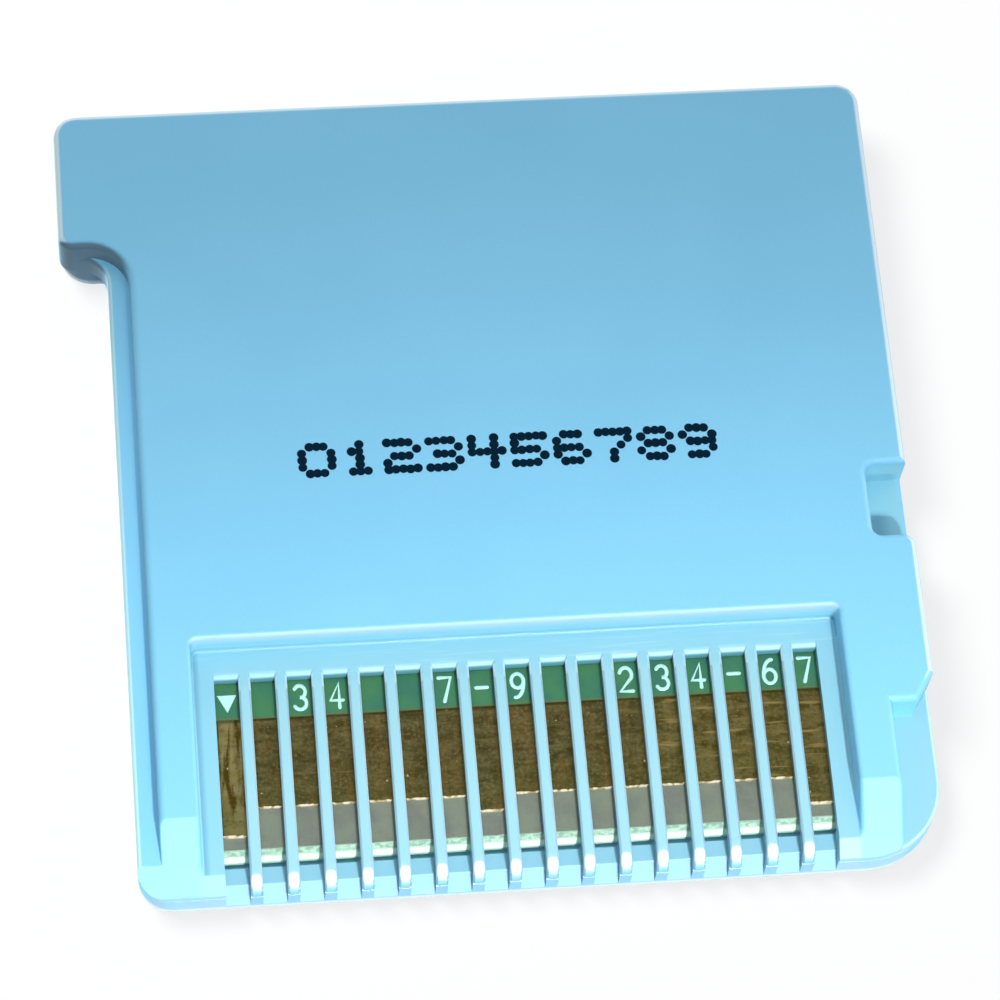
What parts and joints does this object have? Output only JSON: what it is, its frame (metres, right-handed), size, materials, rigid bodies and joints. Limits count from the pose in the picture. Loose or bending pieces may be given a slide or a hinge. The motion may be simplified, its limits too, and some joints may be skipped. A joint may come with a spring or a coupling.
{
  "type": "game cartridge",
  "caption": "Thin square game card for a handheld console: two-part plastic case with a side tab, latch notch and a comb of ribs over gold edge contacts.",
  "frame": {"origin": "centre of the overall outline, on the label face that the card lies on", "axes": "+Z out of the contact face, -Y towards the contact edge that enters the slot, +X towards the latch notch"},
  "size_m": [0.035, 0.035, 0.0038],
  "materials": {
    "shell": "fine satin moulded plastic, pale blue",
    "board": "green solder mask on glass-fibre laminate",
    "contact": "worn gold plate",
    "chip": "matte black moulding compound",
    "capacitor": "ceramic body with tinned ends",
    "resistor": "dark glaze with tinned ends"
  },
  "bodies": {
    "root": {"front_shell": "shell", "rear_shell": "shell", "circuit_board": "board", "contact_01": "contact", "contact_02": "contact", "contact_03": "contact", "contact_04": "contact", "contact_05": "contact", "contact_06": "contact", "contact_07": "contact", "contact_08": "contact", "contact_09": "contact", "contact_10": "contact", "contact_11": "contact", "contact_12": "contact", "contact_13": "contact", "contact_14": "contact", "contact_15": "contact", "contact_16": "contact", "contact_17": "contact", "rom_chip": "chip", "save_chip": "chip", "capacitor_1": "capacitor", "capacitor_2": "capacitor", "capacitor_3": "capacitor", "capacitor_4": "capacitor", "resistor_1": "resistor", "resistor_2": "resistor", "resistor_3": "resistor"}
  },
  "joints": []
}
